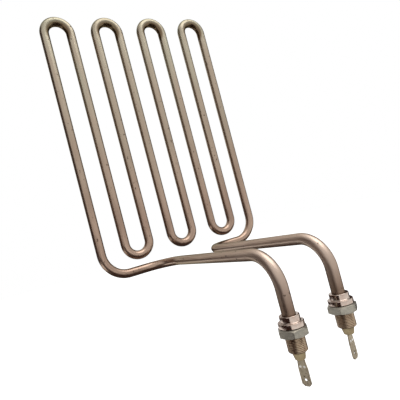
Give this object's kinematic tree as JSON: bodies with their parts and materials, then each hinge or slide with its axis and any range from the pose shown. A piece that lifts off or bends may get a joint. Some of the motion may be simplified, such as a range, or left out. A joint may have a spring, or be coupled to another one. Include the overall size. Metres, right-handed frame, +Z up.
{
  "type": "tubular heating element",
  "caption": "Bent tubular heating element with upright hairpin legs and two forward leads that drop into threaded glands with blade terminals.",
  "frame": {"origin": "in the plane where the glands' flanges meet the base plate, midway between the two glands", "axes": "+Z up along the heated legs, leads and glands on the -Y side, X across the legs"},
  "size_m": [0.1792, 0.1741, 0.3338],
  "materials": {
    "tube_steel": "satin",
    "gland_nickel": "gloss",
    "nut_zinc": "satin",
    "bush_ceramic": "matte",
    "seal_rubber": "matte",
    "pin_steel": "satin",
    "blade_steel": "satin"
  },
  "bodies": {
    "root": {"sheath_tube": "tube_steel", "left_gland": "gland_nickel", "right_gland": "gland_nickel", "left_nut": "nut_zinc", "right_nut": "nut_zinc", "left_bush": "bush_ceramic", "right_bush": "bush_ceramic", "left_seal": "seal_rubber", "right_seal": "seal_rubber", "left_pin": "pin_steel", "right_pin": "pin_steel", "left_blade": "blade_steel", "right_blade": "blade_steel"}
  },
  "joints": []
}
